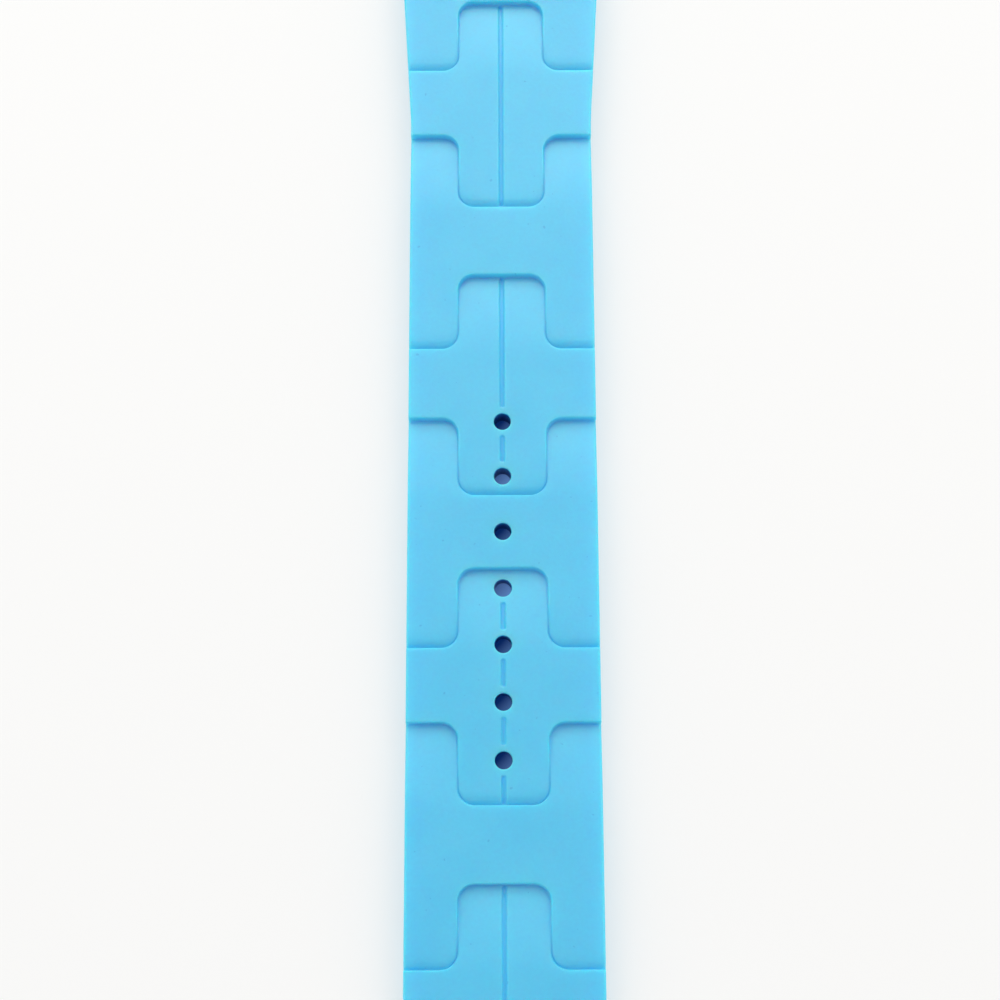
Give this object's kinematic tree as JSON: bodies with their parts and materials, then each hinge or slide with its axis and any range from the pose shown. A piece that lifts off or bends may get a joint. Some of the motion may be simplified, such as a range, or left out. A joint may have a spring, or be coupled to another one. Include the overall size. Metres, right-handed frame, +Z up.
{
  "type": "two-piece silicone watch strap",
  "caption": "Moulded silicone watch strap in two halves with interlocking plate relief, buckle holes, steel pin buckle, keeper loops and spring bars.",
  "frame": {"origin": "centre of the bounding box on the table, under the middle of the strap", "axes": "+Y along the strap from the long half's tail towards the buckle, +Z up out of the strap's face, +X across"},
  "size_m": [0.0254, 0.2258, 0.0117],
  "materials": {
    "silicone": "matte",
    "steel": "satin"
  },
  "bodies": {
    "long_half": {"strap_long": "silicone"},
    "long_bar": {"long_bar_tube": "steel", "long_bar_spring": "steel"},
    "long_pin_left": {"long_bar_pin_left": "steel"},
    "long_pin_right": {"long_bar_pin_right": "steel"},
    "short_half": {"strap_short": "silicone", "keeper_fixed": "silicone"},
    "short_bar": {"short_bar_tube": "steel", "short_bar_spring": "steel"},
    "short_pin_left": {"short_bar_pin_left": "steel"},
    "short_pin_right": {"short_bar_pin_right": "steel"},
    "free_keeper": {"keeper_free": "silicone"},
    "buckle": {"buckle_frame": "steel", "buckle_bar_tube": "steel", "buckle_bar_spring": "steel"},
    "buckle_pin_left": {"buckle_bar_pin_left": "steel"},
    "buckle_pin_right": {"buckle_bar_pin_right": "steel"},
    "tongue": {"buckle_tongue": "steel"}
  },
  "joints": [
    {"name": "halves_apart", "type": "slide", "parent": "long_half", "child": "short_half", "axis": [0, 1, 0], "range_m": [0, 0.03]},
    {"name": "long_bar_spin", "type": "hinge", "parent": "long_half", "child": "long_bar", "pos_m": [0, 0.01807, 0.0017], "axis": [1, 0, 0], "continuous": true},
    {"name": "short_bar_spin", "type": "hinge", "parent": "short_half", "child": "short_bar", "pos_m": [0, 0.02187, 0.0017], "axis": [1, 0, 0], "continuous": true},
    {"name": "buckle_hinge", "type": "hinge", "parent": "short_half", "child": "buckle", "pos_m": [0, 0.09783, 0.0043], "axis": [1, 0, 0], "range_deg": [-55, 80]},
    {"name": "tongue_hinge", "type": "hinge", "parent": "buckle", "child": "tongue", "pos_m": [0, 0.09783, 0.0043], "axis": [1, 0, 0], "range_deg": [0, 50]},
    {"name": "keeper_slide", "type": "slide", "parent": "short_half", "child": "free_keeper", "axis": [0, -0.9994, -0.0342], "range_m": [-0.001, 0.018]},
    {"name": "long_pin_left_press", "type": "slide", "parent": "long_bar", "child": "long_pin_left", "axis": [1, 0, 0], "range_m": [0, 0.0012], "stiffness_N_per_m": 100, "deforming": ["long_bar_spring"]},
    {"name": "long_pin_right_press", "type": "slide", "parent": "long_bar", "child": "long_pin_right", "axis": [-1, 0, 0], "range_m": [0, 0.0012], "stiffness_N_per_m": 100, "deforming": ["long_bar_spring"]},
    {"name": "short_pin_left_press", "type": "slide", "parent": "short_bar", "child": "short_pin_left", "axis": [1, 0, 0], "range_m": [0, 0.0012], "stiffness_N_per_m": 100, "deforming": ["short_bar_spring"]},
    {"name": "short_pin_right_press", "type": "slide", "parent": "short_bar", "child": "short_pin_right", "axis": [-1, 0, 0], "range_m": [0, 0.0012], "stiffness_N_per_m": 100, "deforming": ["short_bar_spring"]},
    {"name": "buckle_pin_left_press", "type": "slide", "parent": "buckle", "child": "buckle_pin_left", "axis": [1, 0, 0], "range_m": [0, 0.0012], "stiffness_N_per_m": 100, "deforming": ["buckle_bar_spring"]},
    {"name": "buckle_pin_right_press", "type": "slide", "parent": "buckle", "child": "buckle_pin_right", "axis": [-1, 0, 0], "range_m": [0, 0.0012], "stiffness_N_per_m": 100, "deforming": ["buckle_bar_spring"]}
  ]
}
